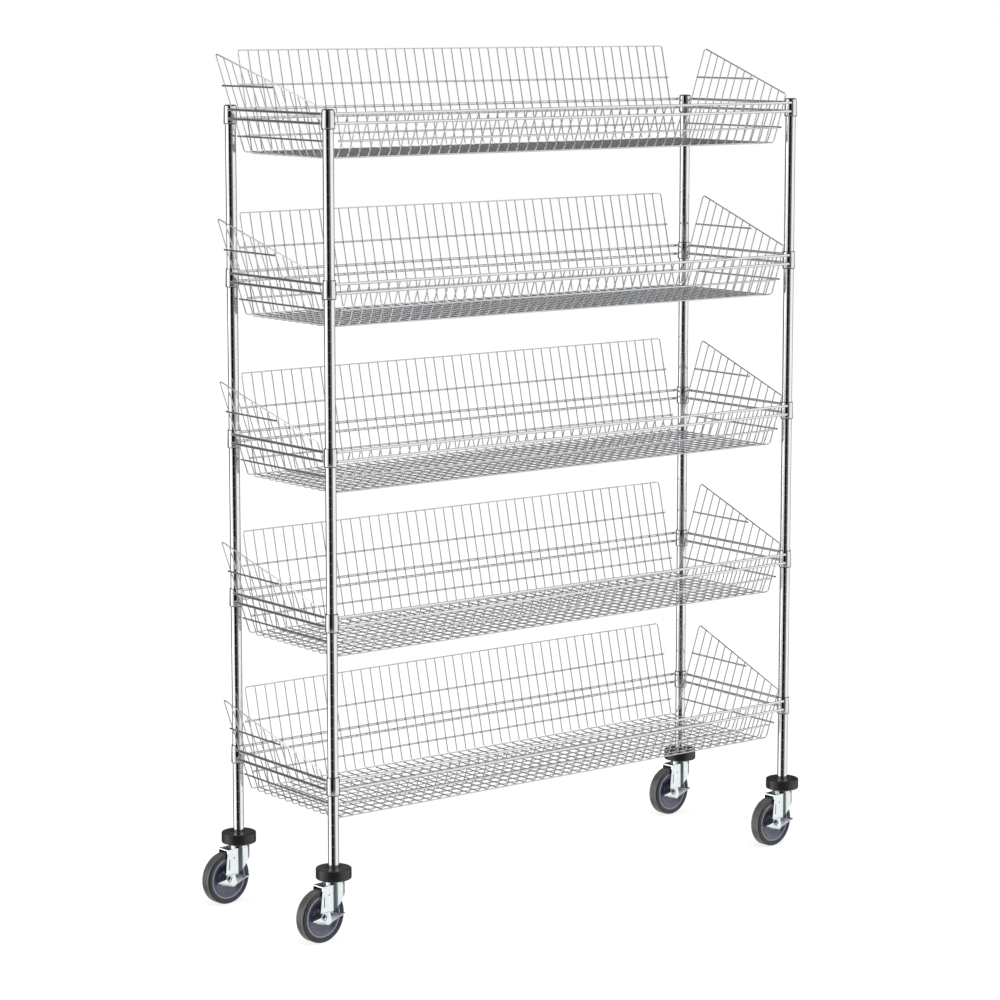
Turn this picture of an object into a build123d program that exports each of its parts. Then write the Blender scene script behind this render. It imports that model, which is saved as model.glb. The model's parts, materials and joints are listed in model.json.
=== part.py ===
from build123d import *
import os
from math import atan, atan2, cos, degrees, hypot, radians, sin, sqrt, tan

# Wire shelf cart: five welded wire basket shelves on four posts, rolling on four braked casters.
# Origin: the floor point under the centre of the post rectangle. +X right, +Y back, +Z up, mm.

# Posts
POST_SPAN_X = 1398.0
POST_SPAN_Y = 403.0
POST_RADIUS = 12.7
POST_WALL = 1.2
POST_FOOT = 168.5
POST_GROOVE_PITCH = 25.4
POST_GROOVE_DEPTH = 0.3
POST_GROOVE_WIDTH = 1.6
CAP_HEIGHT = 2.8
INSERT_LENGTH = 30.0

# Shelf levels, each measured at its collar tops
LEVEL_PITCH = 381.0
LEVEL_COUNT = 5

# Collars and the split sleeves inside them
COLLAR_HEIGHT = 40.0
COLLAR_RADIUS_TOP = 15.0
COLLAR_RADIUS_FOOT = 16.0
COLLAR_WALL = 1.4
SLEEVE_OVERHANG = 0.9
SLEEVE_SLOT = 1.2
SLEEVE_FLATS = 24
FIT = 0.03

# Shelf frame rails
RAIL_RADIUS = 3.2
RAIL_OUTSET = 11.0
RAIL_DEPTHS = (8.0, 29.5)

# Basket wires
WIRE_RADIUS = 1.5
BAR_RADIUS = 2.25
WELD = 0.3
FLOOR_DEPTH = 108.6
FRONT_INSET = 33.0
BACK_INSET = 18.0
SIDE_INSET = 27.6
FRONT_SLOPE = 0.431
BACK_SLOPE = 0.245
SIDE_SLOPE = 0.338
FRONT_BACK_BEND = 10.0
SIDE_BEND = 9.0
JOINT_STUB = 2.0
CROSS_WIRES = 47
CROSS_SPAN = 1302.0
LONG_WIRES = 13
BACK_TOP = 128.0
LOW_BAR_DEPTH = 70.0
HIGH_BAR_RISE = 47.5
BAR_OVERHANG = 10.0
SIDE_TOP_BACK = 122.0
SIDE_TOP_FRONT = 12.0
SIDE_HIGH_BAR_LENGTH = 218.0
CORNER_BEND = 6.0

# Casters, all turned the same way, with the wheel trailing the swivel axis
CASTER_TURN = 6.0
TRAIL = 42.0
WHEEL_RADIUS = 62.5
TYRE_WIDTH = 28.0
TYRE_SHOULDER = 7.5
TYRE_BEAD = 2.0
RIM_RADIUS = 50.0
RIM_WIDTH = 25.0
HUB_WIDTH = 30.0
HUB_RADIUS = 14.0
HUB_CHAMFER = 2.0
HUB_FILLET = 7.0
WEB_HALF = 3.0
RIM_FLANGE = 12.0
RIM_LIP = 3.5
LIP_CHAMFER = 1.5
AXLE_RADIUS = 5.0
BOLT_HEAD = 6.0
BOLT_CORNER_RADIUS = 9.0
BOLT_SIDES = 6
BOLT_TIP = 2.0
RUNNING = 0.05
BUMPER_RADIUS = 41.5
BUMPER_HEIGHT = 25.0
BUMPER_EDGE = 2.5
STEM_RADIUS = 6.35
STEM_REACH = 26.0
PIN_RADIUS = 6.0
RACE_RADIUS = 25.0
LOWER_RACE = 4.0
RACE_STEP = 1.0
PIN_HEAD = 4.0
PIN_HEAD_GROW = 3.5
STEM_CHAMFER = 1.5
FORK_TOP = 133.5
FORK_SHEET = 2.5
FORK_HALF = 18.0
FORK_NOSE = 25.0
FORK_FLARE = 12.0
FORK_TAIL = -60.0
CHEEK_FOOT = 14.0
CHEEK_FOOT_END = -50.0
CHEEK_TOP_TAIL = -48.0
CHEEK_THROAT = (2.0, 94.0)
CHEEK_NOSE_FOOT = 118.0
CHEEK_NOSE = 26.0
GAUGE_HOLE_RADIUS = 1.8
GAUGE_HOLE_PLACE = (-29.0, 112.0)
CHEEK_SLOT = (26.0, 2.4)
CHEEK_SLOT_PLACE = (-43.5, 97.0)
CHEEK_SLOT_LEAN = 88.0
LEVER_SHEET = 2.5
LEVER_GAP = 0.4
TOOTH = (1.5, 3.0)
TOOTH_COUNT = 3
TOOTH_STEP = (4.2, -1.3)
FIRST_TOOTH = (-4.0, -19.2)
TOOTH_LEAN = -17.0
PEDAL_LENGTH = 22.0
LEADING_PEDAL = (38.0, 3.6, 12.0, 15.0)
TRAILING_PEDAL = (-27.0, -4.8, -24.0, 9.0)

EDGE_Y_FRONT = FRONT_INSET - POST_SPAN_Y / 2
EDGE_Y_BACK = POST_SPAN_Y / 2 - BACK_INSET
EDGE_X = POST_SPAN_X / 2 - SIDE_INSET
RAIL_X = POST_SPAN_X / 2 + RAIL_OUTSET
RAIL_Y = POST_SPAN_Y / 2 + RAIL_OUTSET
CROSS_PITCH = CROSS_SPAN / (CROSS_WIRES - 1)
LONG_PITCH = (EDGE_Y_BACK - EDGE_Y_FRONT) / (LONG_WIRES - 1)
LAYER = WIRE_RADIUS - WELD / 2
CROSS_Z = LAYER - FLOOR_DEPTH
LONG_Z = -LAYER - FLOOR_DEPTH
LEVELS = [LEVEL_PITCH * (n + 1) for n in range(LEVEL_COUNT)]
POST_TOP = LEVELS[-1]
CORNERS = {
    "front_left": (-POST_SPAN_X / 2, -POST_SPAN_Y / 2),
    "front_right": (POST_SPAN_X / 2, -POST_SPAN_Y / 2),
    "back_left": (-POST_SPAN_X / 2, POST_SPAN_Y / 2),
    "back_right": (POST_SPAN_X / 2, POST_SPAN_Y / 2),
}
WHEEL_CENTRE = Vector(-TRAIL, 0, WHEEL_RADIUS)

os.makedirs("parts", exist_ok=True)


def save(shape, label):
    """Label a finished piece and write it as its own STEP file."""
    shape.label = label
    export_step(shape, f"parts/{label}.step", write_pcurves=False)
    print(label, [round(v, 1) for v in shape.bounding_box().size])


def bent_wire(points, bends, seated=True):
    """A wire along straight runs joined by tangent bends, with a flat weld seat on its outer side."""
    with BuildPart() as wire:
        with BuildLine() as route:
            FilletPolyline(*points, radius=bends)
        with BuildSketch(Plane(origin=route.line @ 0, x_dir=(0, 0, -1), z_dir=route.line % 0)):
            Circle(WIRE_RADIUS)
            if seated:
                with Locations((LAYER, 0)):
                    Rectangle(
                        WIRE_RADIUS,
                        2 * WIRE_RADIUS,
                        align=(Align.MIN, Align.CENTER),
                        mode=Mode.SUBTRACT,
                    )
        sweep(path=route.line)
    return wire.part


def bar_section(place, outward):
    """Round bar section at a place, with its weld seat on the side away from the outward angle."""
    with Locations(Location((*place, 0), (0, 0, outward))):
        Circle(BAR_RADIUS)
    with Locations(Location((*place, 0), (0, 0, outward)) * Location((WELD / 2 - BAR_RADIUS, 0, 0))):
        Rectangle(
            BAR_RADIUS,
            2 * BAR_RADIUS,
            align=(Align.MAX, Align.CENTER),
            mode=Mode.SUBTRACT,
        )


def joint_setback(bend, slope):
    """Distance from a floor corner to where floor wires meet the bent wires of a wall."""
    turn = radians(90) - atan(slope)
    return bend * tan(turn / 2) + JOINT_STUB


def outside(slope):
    """Sideways distance from a wall wire's centre line to a bar welded on its outer side."""
    return (WIRE_RADIUS + BAR_RADIUS - WELD) * hypot(1, slope)


# ------------------------------------------------ posts
def make_post():
    """One grooved tube post, standing on the axis."""
    length = POST_TOP - POST_FOOT
    grooves = int((length - POST_GROOVE_PITCH) / POST_GROOVE_PITCH)
    with BuildPart() as post:
        Cylinder(POST_RADIUS, length, align=(Align.CENTER, Align.CENTER, Align.MIN))
        with BuildSketch(Plane.XZ) as cuts:
            with Locations((POST_RADIUS, POST_GROOVE_PITCH * (grooves + 1) / 2)):
                with GridLocations(1, POST_GROOVE_PITCH, 1, grooves):
                    Rectangle(2 * POST_GROOVE_DEPTH, POST_GROOVE_WIDTH)
        revolve(axis=Axis.Z, mode=Mode.SUBTRACT)
        Cylinder(
            POST_RADIUS - POST_WALL,
            length,
            align=(Align.CENTER, Align.CENTER, Align.MIN),
            mode=Mode.SUBTRACT,
        )
    return post.part


def make_cap():
    """Push-in end cap: a round-edged disc over the post with a plug inside it."""
    with BuildPart() as cap:
        Cylinder(POST_RADIUS, CAP_HEIGHT, align=(Align.CENTER, Align.CENTER, Align.MIN))
        fillet(cap.edges().group_by(Axis.Z)[-1], CAP_HEIGHT / 2)
        Cylinder(
            POST_RADIUS - POST_WALL - FIT,
            5 * CAP_HEIGHT,
            align=(Align.CENTER, Align.CENTER, Align.MAX),
        )
    return cap.part


def make_insert():
    """Threaded plug in the foot of a post, which takes the caster stem."""
    with BuildPart() as insert:
        Cylinder(
            POST_RADIUS - POST_WALL - FIT,
            INSERT_LENGTH,
            align=(Align.CENTER, Align.CENTER, Align.MIN),
        )
        Hole(STEM_RADIUS + FIT)
    return insert.part


def make_sleeve():
    """Two tapered, faceted half shells that wedge between a post and a collar, hung from the collar top."""
    with BuildPart() as sleeve:
        with BuildSketch(Plane.XY):
            RegularPolygon(COLLAR_RADIUS_TOP - COLLAR_WALL, SLEEVE_FLATS)
        extrude(amount=SLEEVE_OVERHANG)
        with BuildSketch(Plane.XY.offset(-COLLAR_HEIGHT)):
            RegularPolygon(COLLAR_RADIUS_FOOT - COLLAR_WALL, SLEEVE_FLATS)
        extrude(amount=-SLEEVE_OVERHANG)
        with BuildSketch(Plane.XY.offset(-COLLAR_HEIGHT)):
            RegularPolygon(COLLAR_RADIUS_FOOT - COLLAR_WALL, SLEEVE_FLATS)
        with BuildSketch(Plane.XY):
            RegularPolygon(COLLAR_RADIUS_TOP - COLLAR_WALL, SLEEVE_FLATS)
        loft()
        with BuildSketch(Plane.XY.offset(-2 * COLLAR_HEIGHT)):
            RegularPolygon(POST_RADIUS + FIT, SLEEVE_FLATS, major_radius=False)
        extrude(amount=4 * COLLAR_HEIGHT, mode=Mode.SUBTRACT)
        Box(4 * POST_RADIUS, SLEEVE_SLOT, 4 * COLLAR_HEIGHT, mode=Mode.SUBTRACT)
    return sleeve.part


def make_posts():
    """Posts, caps, inserts and sleeves."""
    post = make_post()
    for corner, (x, y) in CORNERS.items():
        save(post.moved(Location((x, y, POST_FOOT))), f"post_{corner}")
    cap = make_cap()
    insert = make_insert()
    sleeve = make_sleeve()
    with BuildPart() as caps:
        with Locations([(x, y, POST_TOP) for x, y in CORNERS.values()]):
            add(cap)
    save(caps.part, "post_caps")
    with BuildPart() as inserts:
        with Locations([(x, y, POST_FOOT) for x, y in CORNERS.values()]):
            add(insert)
    save(inserts.part, "post_inserts")
    with BuildPart() as sleeves:
        with Locations([(x, y, z) for x, y in CORNERS.values() for z in LEVELS]):
            add(sleeve)
    save(sleeves.part, "post_sleeves")


# ------------------------------------------------ shelves, built with the collar tops at z = 0
def make_collars():
    """Four tapered collars, one round each post."""
    with BuildPart() as collars:
        with Locations([(x, y, 0) for x, y in CORNERS.values()]):
            Cone(
                COLLAR_RADIUS_FOOT,
                COLLAR_RADIUS_TOP,
                COLLAR_HEIGHT,
                align=(Align.CENTER, Align.CENTER, Align.MAX),
            )
            Cone(
                COLLAR_RADIUS_FOOT - COLLAR_WALL,
                COLLAR_RADIUS_TOP - COLLAR_WALL,
                COLLAR_HEIGHT,
                align=(Align.CENTER, Align.CENTER, Align.MAX),
                mode=Mode.SUBTRACT,
            )
    return collars.part


def make_rails():
    """Two round rails on each side, one above the other, that end on the collars."""
    ends_x = POST_SPAN_X / 2
    ends_y = POST_SPAN_Y / 2
    with BuildPart() as rails:
        with BuildSketch(Plane.YZ.offset(-ends_x)):
            with Locations([(y, -d) for y in (-RAIL_Y, RAIL_Y) for d in RAIL_DEPTHS]):
                Circle(RAIL_RADIUS)
        extrude(amount=POST_SPAN_X)
        with BuildSketch(Plane.XZ.offset(-ends_y)):
            with Locations([(x, -d) for x in (-RAIL_X, RAIL_X) for d in RAIL_DEPTHS]):
                Circle(RAIL_RADIUS)
        extrude(amount=POST_SPAN_Y)
        with Locations([(x, y, 0) for x, y in CORNERS.values()]):
            Cone(
                COLLAR_RADIUS_FOOT,
                COLLAR_RADIUS_TOP,
                COLLAR_HEIGHT,
                align=(Align.CENTER, Align.CENTER, Align.MAX),
                mode=Mode.SUBTRACT,
            )
    return rails.part


def make_floor():
    """Flat floor grille: lengthways wires under crossways wires, welded at every crossing."""
    front = EDGE_Y_FRONT + joint_setback(FRONT_BACK_BEND, FRONT_SLOPE)
    back = EDGE_Y_BACK - joint_setback(FRONT_BACK_BEND, BACK_SLOPE)
    side = EDGE_X - joint_setback(SIDE_BEND, SIDE_SLOPE)
    inner = LONG_WIRES - 2
    with BuildPart() as floor:
        with BuildSketch(Plane.YZ.offset(-side)):
            with Locations(((EDGE_Y_FRONT + EDGE_Y_BACK) / 2, LONG_Z)):
                with GridLocations(LONG_PITCH, 1, inner, 1):
                    Circle(WIRE_RADIUS)
            with Locations((0, -FLOOR_DEPTH)):
                Rectangle(
                    POST_SPAN_Y,
                    2 * WIRE_RADIUS,
                    align=(Align.CENTER, Align.MIN),
                    mode=Mode.SUBTRACT,
                )
        extrude(amount=2 * side)
        with BuildSketch(Plane.XZ.offset(-back)):
            with Locations((0, CROSS_Z)):
                with GridLocations(CROSS_PITCH, 1, CROSS_WIRES, 1):
                    Circle(WIRE_RADIUS)
            with Locations((0, -FLOOR_DEPTH)):
                Rectangle(
                    POST_SPAN_X,
                    2 * WIRE_RADIUS,
                    align=(Align.CENTER, Align.MAX),
                    mode=Mode.SUBTRACT,
                )
        extrude(amount=back - front)
    return floor.part


def edge_wire_place(edge, slope, inward):
    """Y and Z of the lengthways wire that lies on the outer side of a floor bend."""
    turn = radians(90) - atan(slope)
    reach = FRONT_BACK_BEND + 2 * LAYER
    centre_y = edge + inward * FRONT_BACK_BEND * tan(turn / 2)
    centre_z = CROSS_Z + FRONT_BACK_BEND
    return centre_y - inward * reach * sin(turn / 2), centre_z - reach * cos(turn / 2)


def side_wire_height(y):
    """Height of the slanting top wire of a side wall above the collar tops."""
    share = (y - EDGE_Y_FRONT) / (EDGE_Y_BACK - EDGE_Y_FRONT)
    return SIDE_TOP_FRONT + share * (SIDE_TOP_BACK - SIDE_TOP_FRONT)


def side_x(z):
    """X of a side wall's wires at a height, on the right-hand side."""
    return EDGE_X + SIDE_SLOPE * (z + FLOOR_DEPTH)


def long_wire_places():
    """Y and Z of all the lengthways wires; the two outermost lie on the floor bends."""
    places = [(EDGE_Y_FRONT + n * LONG_PITCH, LONG_Z) for n in range(LONG_WIRES)]
    places[0] = edge_wire_place(EDGE_Y_FRONT, FRONT_SLOPE, 1)
    places[-1] = edge_wire_place(EDGE_Y_BACK, BACK_SLOPE, -1)
    return places


def edge_wire_run():
    """Half length of the straight run of the outermost lengthways wires."""
    return EDGE_X - joint_setback(SIDE_BEND, SIDE_SLOPE)


def make_front_wall():
    """Front wall: crossways wires bent up to the upper front rail, with one bar outside."""
    floor_end = EDGE_Y_FRONT + joint_setback(FRONT_BACK_BEND, FRONT_SLOPE)
    rail_reach = (RAIL_RADIUS + WIRE_RADIUS - WELD) / 2
    top_z = -RAIL_DEPTHS[0] - rail_reach
    top_y = EDGE_Y_FRONT - FRONT_SLOPE * (top_z - CROSS_Z)
    bar_y = EDGE_Y_FRONT - FRONT_SLOPE * (-LOW_BAR_DEPTH - CROSS_Z) - outside(FRONT_SLOPE)
    bar_half = CROSS_SPAN / 2 + BAR_OVERHANG
    edge_y, edge_z = edge_wire_place(EDGE_Y_FRONT, FRONT_SLOPE, 1)
    run = edge_wire_run()
    upright = bent_wire(
        [(0, floor_end, CROSS_Z), (0, EDGE_Y_FRONT, CROSS_Z), (0, top_y, top_z)],
        FRONT_BACK_BEND,
    )
    with BuildPart() as wall:
        with GridLocations(CROSS_PITCH, 1, CROSS_WIRES, 1):
            add(upright)
        with BuildSketch(Plane.YZ.offset(-bar_half)):
            bar_section((bar_y, -LOW_BAR_DEPTH), 180 + degrees(atan(FRONT_SLOPE)))
        extrude(amount=2 * bar_half)
        with BuildSketch(Plane.YZ.offset(-run)):
            with Locations((edge_y, edge_z)):
                Circle(WIRE_RADIUS)
        extrude(amount=2 * run)
    return wall.part


def back_y(z):
    """Y of the back wall's wires at a height."""
    return EDGE_Y_BACK + BACK_SLOPE * (z - CROSS_Z)


def make_back_wall():
    """Back wall: crossways wires bent up past the rails to a top wire, with two bars outside."""
    floor_end = EDGE_Y_BACK - joint_setback(FRONT_BACK_BEND, BACK_SLOPE)
    half = CROSS_SPAN / 2
    bar_half = half + BAR_OVERHANG
    edge_y, edge_z = edge_wire_place(EDGE_Y_BACK, BACK_SLOPE, -1)
    run = edge_wire_run()
    top = (back_y(BACK_TOP), BACK_TOP)
    upright = bent_wire(
        [(0, floor_end, CROSS_Z), (0, EDGE_Y_BACK, CROSS_Z), (0, *top)],
        FRONT_BACK_BEND,
    )
    rim = bent_wire(
        [
            (-half, floor_end, CROSS_Z),
            (-half, EDGE_Y_BACK, CROSS_Z),
            (-half, *top),
            (half, *top),
            (half, EDGE_Y_BACK, CROSS_Z),
            (half, floor_end, CROSS_Z),
        ],
        [FRONT_BACK_BEND, CORNER_BEND, CORNER_BEND, FRONT_BACK_BEND],
        seated=False,
    )
    with BuildPart() as wall:
        with GridLocations(CROSS_PITCH, 1, CROSS_WIRES - 2, 1):
            add(upright)
        add(rim)
        with BuildSketch(Plane.YZ.offset(-bar_half)):
            for z in (-LOW_BAR_DEPTH, HIGH_BAR_RISE):
                bar_section((back_y(z) + outside(BACK_SLOPE), z), -degrees(atan(BACK_SLOPE)))
        extrude(amount=2 * bar_half)
        with BuildSketch(Plane.YZ.offset(-run)):
            with Locations((edge_y, edge_z)):
                Circle(WIRE_RADIUS)
        extrude(amount=2 * run)
    return wall.part


def side_path(y, z):
    """Floor end, corner and top of one side wall wire on the right-hand side."""
    corner = side_x(z)
    start = corner - joint_setback(SIDE_BEND, SIDE_SLOPE)
    height = side_wire_height(y)
    return [(start, y, z), (corner, y, z), (side_x(height), y, height)]


def make_side_wall():
    """Right side wall: lengthways wires bent up to a slanting rim, with two bars outside."""
    places = long_wire_places()
    front = side_path(*places[0])
    back = side_path(*places[-1])
    rim = bent_wire(
        front + back[::-1], [SIDE_BEND, CORNER_BEND, CORNER_BEND, SIDE_BEND], seated=False
    )
    uprights = [bent_wire(side_path(y, z), SIDE_BEND) for y, z in places[1:-1]]
    outward = -degrees(atan(SIDE_SLOPE))
    back_end = EDGE_Y_BACK + BAR_OVERHANG / 2
    with BuildPart() as wall:
        add([rim, *uprights])
        with BuildSketch(Plane.XZ.offset(-back_end)):
            low_x = side_x(-LOW_BAR_DEPTH) + outside(SIDE_SLOPE)
            bar_section((low_x, -LOW_BAR_DEPTH), outward)
        extrude(amount=back_end - EDGE_Y_FRONT + BAR_OVERHANG)
        with BuildSketch(Plane.XZ.offset(-back_end)):
            high_x = side_x(HIGH_BAR_RISE) + outside(SIDE_SLOPE)
            bar_section((high_x, HIGH_BAR_RISE), outward)
        extrude(amount=SIDE_HIGH_BAR_LENGTH)
    return wall.part


def make_shelves():
    """The five levels, each with its frame, floor and four walls."""
    frame = Compound(children=[*make_rails().solids(), *make_collars().solids()])
    right = make_side_wall()
    left = mirror(right, about=Plane.YZ)
    sides = Compound(children=[*left.solids(), *right.solids()])
    pieces = {
        "frame": frame,
        "floor": make_floor(),
        "front_wall": make_front_wall(),
        "back_wall": make_back_wall(),
        "side_walls": sides,
    }
    for number, level in enumerate(LEVELS, start=1):
        for name, piece in pieces.items():
            save(piece.moved(Location((0, 0, level))), f"shelf_{number}_{name}")


# ------------------------------------------------ casters, built round the swivel axis, wheel towards -X
def axle_section():
    """Sketch plane through the wheel axis: first axis along the axle, second axis radial."""
    return Plane(origin=WHEEL_CENTRE, x_dir=(0, 1, 0), z_dir=(1, 0, 0))


def axle_axis():
    """The wheel's axis."""
    return Axis(WHEEL_CENTRE, (0, 1, 0))


def make_tyre():
    """Solid tyre with round shoulders and a shallow bead step on each side."""
    half = TYRE_WIDTH / 2
    with BuildPart() as tyre:
        with BuildSketch(axle_section()) as section:
            with BuildLine():
                Polyline(
                    (-RIM_WIDTH / 2, RIM_RADIUS),
                    (-half, RIM_RADIUS + TYRE_BEAD),
                    (-half, WHEEL_RADIUS),
                    (half, WHEEL_RADIUS),
                    (half, RIM_RADIUS + TYRE_BEAD),
                    (RIM_WIDTH / 2, RIM_RADIUS),
                    close=True,
                )
            make_face()
            fillet(section.vertices().group_by(Axis.Y)[-1], TYRE_SHOULDER)
        revolve(axis=axle_axis())
    return tyre.part


def make_wheel():
    """Moulded wheel core: rim, dished web and hub, bored for the axle."""
    rim = RIM_WIDTH / 2
    hub = HUB_WIDTH / 2
    with BuildPart() as wheel:
        with BuildSketch(axle_section()):
            with BuildLine() as half_section:
                Polyline(
                    (0, AXLE_RADIUS + RUNNING),
                    (hub, AXLE_RADIUS + RUNNING),
                    (hub, HUB_RADIUS - HUB_CHAMFER),
                    (hub - 2 * HUB_CHAMFER, HUB_RADIUS),
                    (WEB_HALF, HUB_RADIUS + HUB_FILLET),
                    (WEB_HALF, RIM_RADIUS - RIM_FLANGE),
                    (rim - LIP_CHAMFER, RIM_RADIUS - RIM_LIP - LIP_CHAMFER),
                    (rim, RIM_RADIUS - RIM_LIP),
                    (rim, RIM_RADIUS),
                    (0, RIM_RADIUS),
                )
                mirror(half_section.line, about=Plane.YZ)
            make_face()
        revolve(axis=axle_axis())
    return wheel.part


def axle_plane(y):
    """Sketch plane across the axle at a distance in front of the swivel axis, facing the front."""
    return Plane(origin=(-TRAIL, -y, WHEEL_RADIUS), x_dir=(1, 0, 0), z_dir=(0, -1, 0))


def make_axle():
    """Axle bolt with its head at the back and a nut outside the brake lever."""
    front = FORK_HALF + 2 * LEVER_GAP + LEVER_SHEET
    with BuildPart() as axle:
        with BuildSketch(axle_plane(-FORK_HALF)):
            RegularPolygon(BOLT_CORNER_RADIUS, BOLT_SIDES)
        extrude(amount=-BOLT_HEAD)
        with BuildSketch(axle_plane(-FORK_HALF)):
            Circle(AXLE_RADIUS)
        extrude(amount=FORK_HALF + front + BOLT_HEAD + BOLT_TIP)
        with BuildSketch(axle_plane(front)):
            RegularPolygon(BOLT_CORNER_RADIUS, BOLT_SIDES)
        extrude(amount=BOLT_HEAD)
    return axle.part


def fork_outline():
    """Half the fork's plan: a straight cheek, a flare tangent to it and to the round nose."""
    rise = FORK_HALF + FORK_FLARE
    run = -sqrt((FORK_NOSE + FORK_FLARE) ** 2 - rise**2)
    turn = degrees(atan2(rise, run))
    Line((FORK_TAIL, FORK_HALF), (run, FORK_HALF))
    CenterArc((run, rise), FORK_FLARE, -90, turn - 90)
    CenterArc((0, 0), FORK_NOSE, turn, -turn)


def make_fork():
    """Pressed swivel fork: top plate with the lower race, two cheeks and a round nose."""
    foot = WHEEL_RADIUS - CHEEK_FOOT
    foot_end = radians(CHEEK_FOOT_END)
    with BuildPart() as fork:
        with BuildSketch(Plane.XY.offset(foot)) as plan:
            with BuildLine() as edge:
                fork_outline()
                mirror(edge.line, about=Plane.XZ)
                Line((FORK_TAIL, -FORK_HALF), (FORK_TAIL, FORK_HALF))
            make_face()
        extrude(amount=FORK_TOP - foot)
        with BuildSketch(Plane.XY.offset(foot)):
            offset(plan.sketch, amount=-FORK_SHEET)
            with Locations((FORK_TAIL + FORK_SHEET, 0)):
                Rectangle(3 * FORK_SHEET, 2 * (FORK_HALF - FORK_SHEET))
        extrude(amount=FORK_TOP - FORK_SHEET - foot, mode=Mode.SUBTRACT)
        with BuildSketch(Plane.XZ.offset(-2 * FORK_NOSE)):
            with BuildLine():
                Line((CHEEK_TOP_TAIL, FORK_TOP), (-TRAIL - CHEEK_FOOT, WHEEL_RADIUS))
                CenterArc((-TRAIL, WHEEL_RADIUS), CHEEK_FOOT, 180, 180 + CHEEK_FOOT_END)
                Polyline(
                    (
                        -TRAIL + CHEEK_FOOT * cos(foot_end),
                        WHEEL_RADIUS + CHEEK_FOOT * sin(foot_end),
                    ),
                    CHEEK_THROAT,
                    (CHEEK_NOSE, CHEEK_NOSE_FOOT),
                    (CHEEK_NOSE, FORK_TOP),
                    (CHEEK_TOP_TAIL, FORK_TOP),
                )
            make_face()
        extrude(amount=4 * FORK_NOSE, mode=Mode.INTERSECT)
        with Locations((0, 0, FORK_TOP)):
            Cylinder(RACE_RADIUS - 2 * RACE_STEP, LOWER_RACE, align=(Align.CENTER, Align.CENTER, Align.MIN))
        Cylinder(PIN_RADIUS + RUNNING, 400, mode=Mode.SUBTRACT)
        with BuildSketch(Plane.XZ.offset(-2 * FORK_NOSE)):
            with Locations((-TRAIL, WHEEL_RADIUS)):
                Circle(AXLE_RADIUS + FIT)
            with Locations(GAUGE_HOLE_PLACE):
                Circle(GAUGE_HOLE_RADIUS)
            with Locations(CHEEK_SLOT_PLACE):
                SlotOverall(*CHEEK_SLOT, rotation=CHEEK_SLOT_LEAN)
        extrude(amount=4 * FORK_NOSE, mode=Mode.SUBTRACT)
    return fork.part


def make_stem():
    """Threaded stem with the upper race on it and the king pin below, riveted under the fork."""
    race = FORK_TOP + LOWER_RACE + LEVER_GAP
    head = FORK_TOP - FORK_SHEET - LEVER_GAP
    with BuildPart() as stem:
        with BuildSketch(Plane.XZ):
            with BuildLine():
                Polyline(
                    (0, head - PIN_HEAD),
                    (PIN_RADIUS + PIN_HEAD_GROW / 2, head - PIN_HEAD),
                    (PIN_RADIUS + PIN_HEAD_GROW, head),
                    (PIN_RADIUS, head),
                    (PIN_RADIUS, race),
                    (RACE_RADIUS - RACE_STEP, race),
                    (RACE_RADIUS, race + RACE_STEP),
                    (RACE_RADIUS, POST_FOOT - BUMPER_HEIGHT),
                    (STEM_RADIUS, POST_FOOT - BUMPER_HEIGHT),
                    (STEM_RADIUS, POST_FOOT + STEM_REACH - STEM_CHAMFER),
                    (STEM_RADIUS - STEM_CHAMFER, POST_FOOT + STEM_REACH),
                    (0, POST_FOOT + STEM_REACH),
                    close=True,
                )
            make_face()
        revolve(axis=Axis.Z)
    return stem.part


def make_bumper():
    """Round rubber bumper clamped between the post and the caster."""
    with BuildPart() as bumper:
        with Locations((0, 0, POST_FOOT)):
            Cylinder(BUMPER_RADIUS, BUMPER_HEIGHT, align=(Align.CENTER, Align.CENTER, Align.MAX))
        rims = bumper.edges().filter_by(GeomType.CIRCLE)
        fillet(rims, BUMPER_EDGE)
        Cylinder(STEM_RADIUS + FIT, 500, mode=Mode.SUBTRACT)
    return bumper.part


def make_brake():
    """Rocking brake lever outside the near cheek, with a foot pedal bent out at each end."""
    lever_plane = axle_plane(FORK_HALF + LEVER_GAP)
    with BuildPart() as brake:
        with BuildSketch(lever_plane):
            with BuildLine():
                Polyline(
                    (-36, 1),
                    (-36, -4),
                    (-8, -17),
                    (8, -22),
                    (20, -12),
                    (48, 3),
                    (48, 7),
                    (24, 4),
                    (13, 9),
                    (-9, 9),
                    (-14, 1),
                    close=True,
                )
            make_face()
        extrude(amount=LEVER_SHEET)
        with BuildSketch(lever_plane):
            with Locations(
                [
                    (FIRST_TOOTH[0] + n * TOOTH_STEP[0], FIRST_TOOTH[1] + n * TOOTH_STEP[1])
                    for n in range(TOOTH_COUNT)
                ]
            ):
                Rectangle(*TOOTH, rotation=TOOTH_LEAN)
        extrude(amount=LEVER_SHEET, mode=Mode.SUBTRACT)
        for along, up, lean, reach in (LEADING_PEDAL, TRAILING_PEDAL):
            with BuildSketch(lever_plane):
                with Locations((along, up)):
                    Rectangle(PEDAL_LENGTH, LEVER_SHEET, rotation=lean)
            extrude(amount=LEVER_SHEET + reach)
        with BuildSketch(lever_plane):
            Circle(AXLE_RADIUS + RUNNING)
        extrude(amount=LEVER_SHEET, mode=Mode.SUBTRACT)
    return brake.part


def make_casters():
    """Four casters, one under each post, all turned the same way."""
    pieces = {
        "stem": make_stem(),
        "bumper": make_bumper(),
        "fork": make_fork(),
        "axle": make_axle(),
        "wheel": make_wheel(),
        "tyre": make_tyre(),
        "brake": make_brake(),
    }
    for corner, (x, y) in CORNERS.items():
        place = Location((x, y, 0), (0, 0, CASTER_TURN))
        for name, piece in pieces.items():
            save(piece.moved(place), f"caster_{corner}_{name}")


make_posts()
make_casters()
make_shelves()
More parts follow.
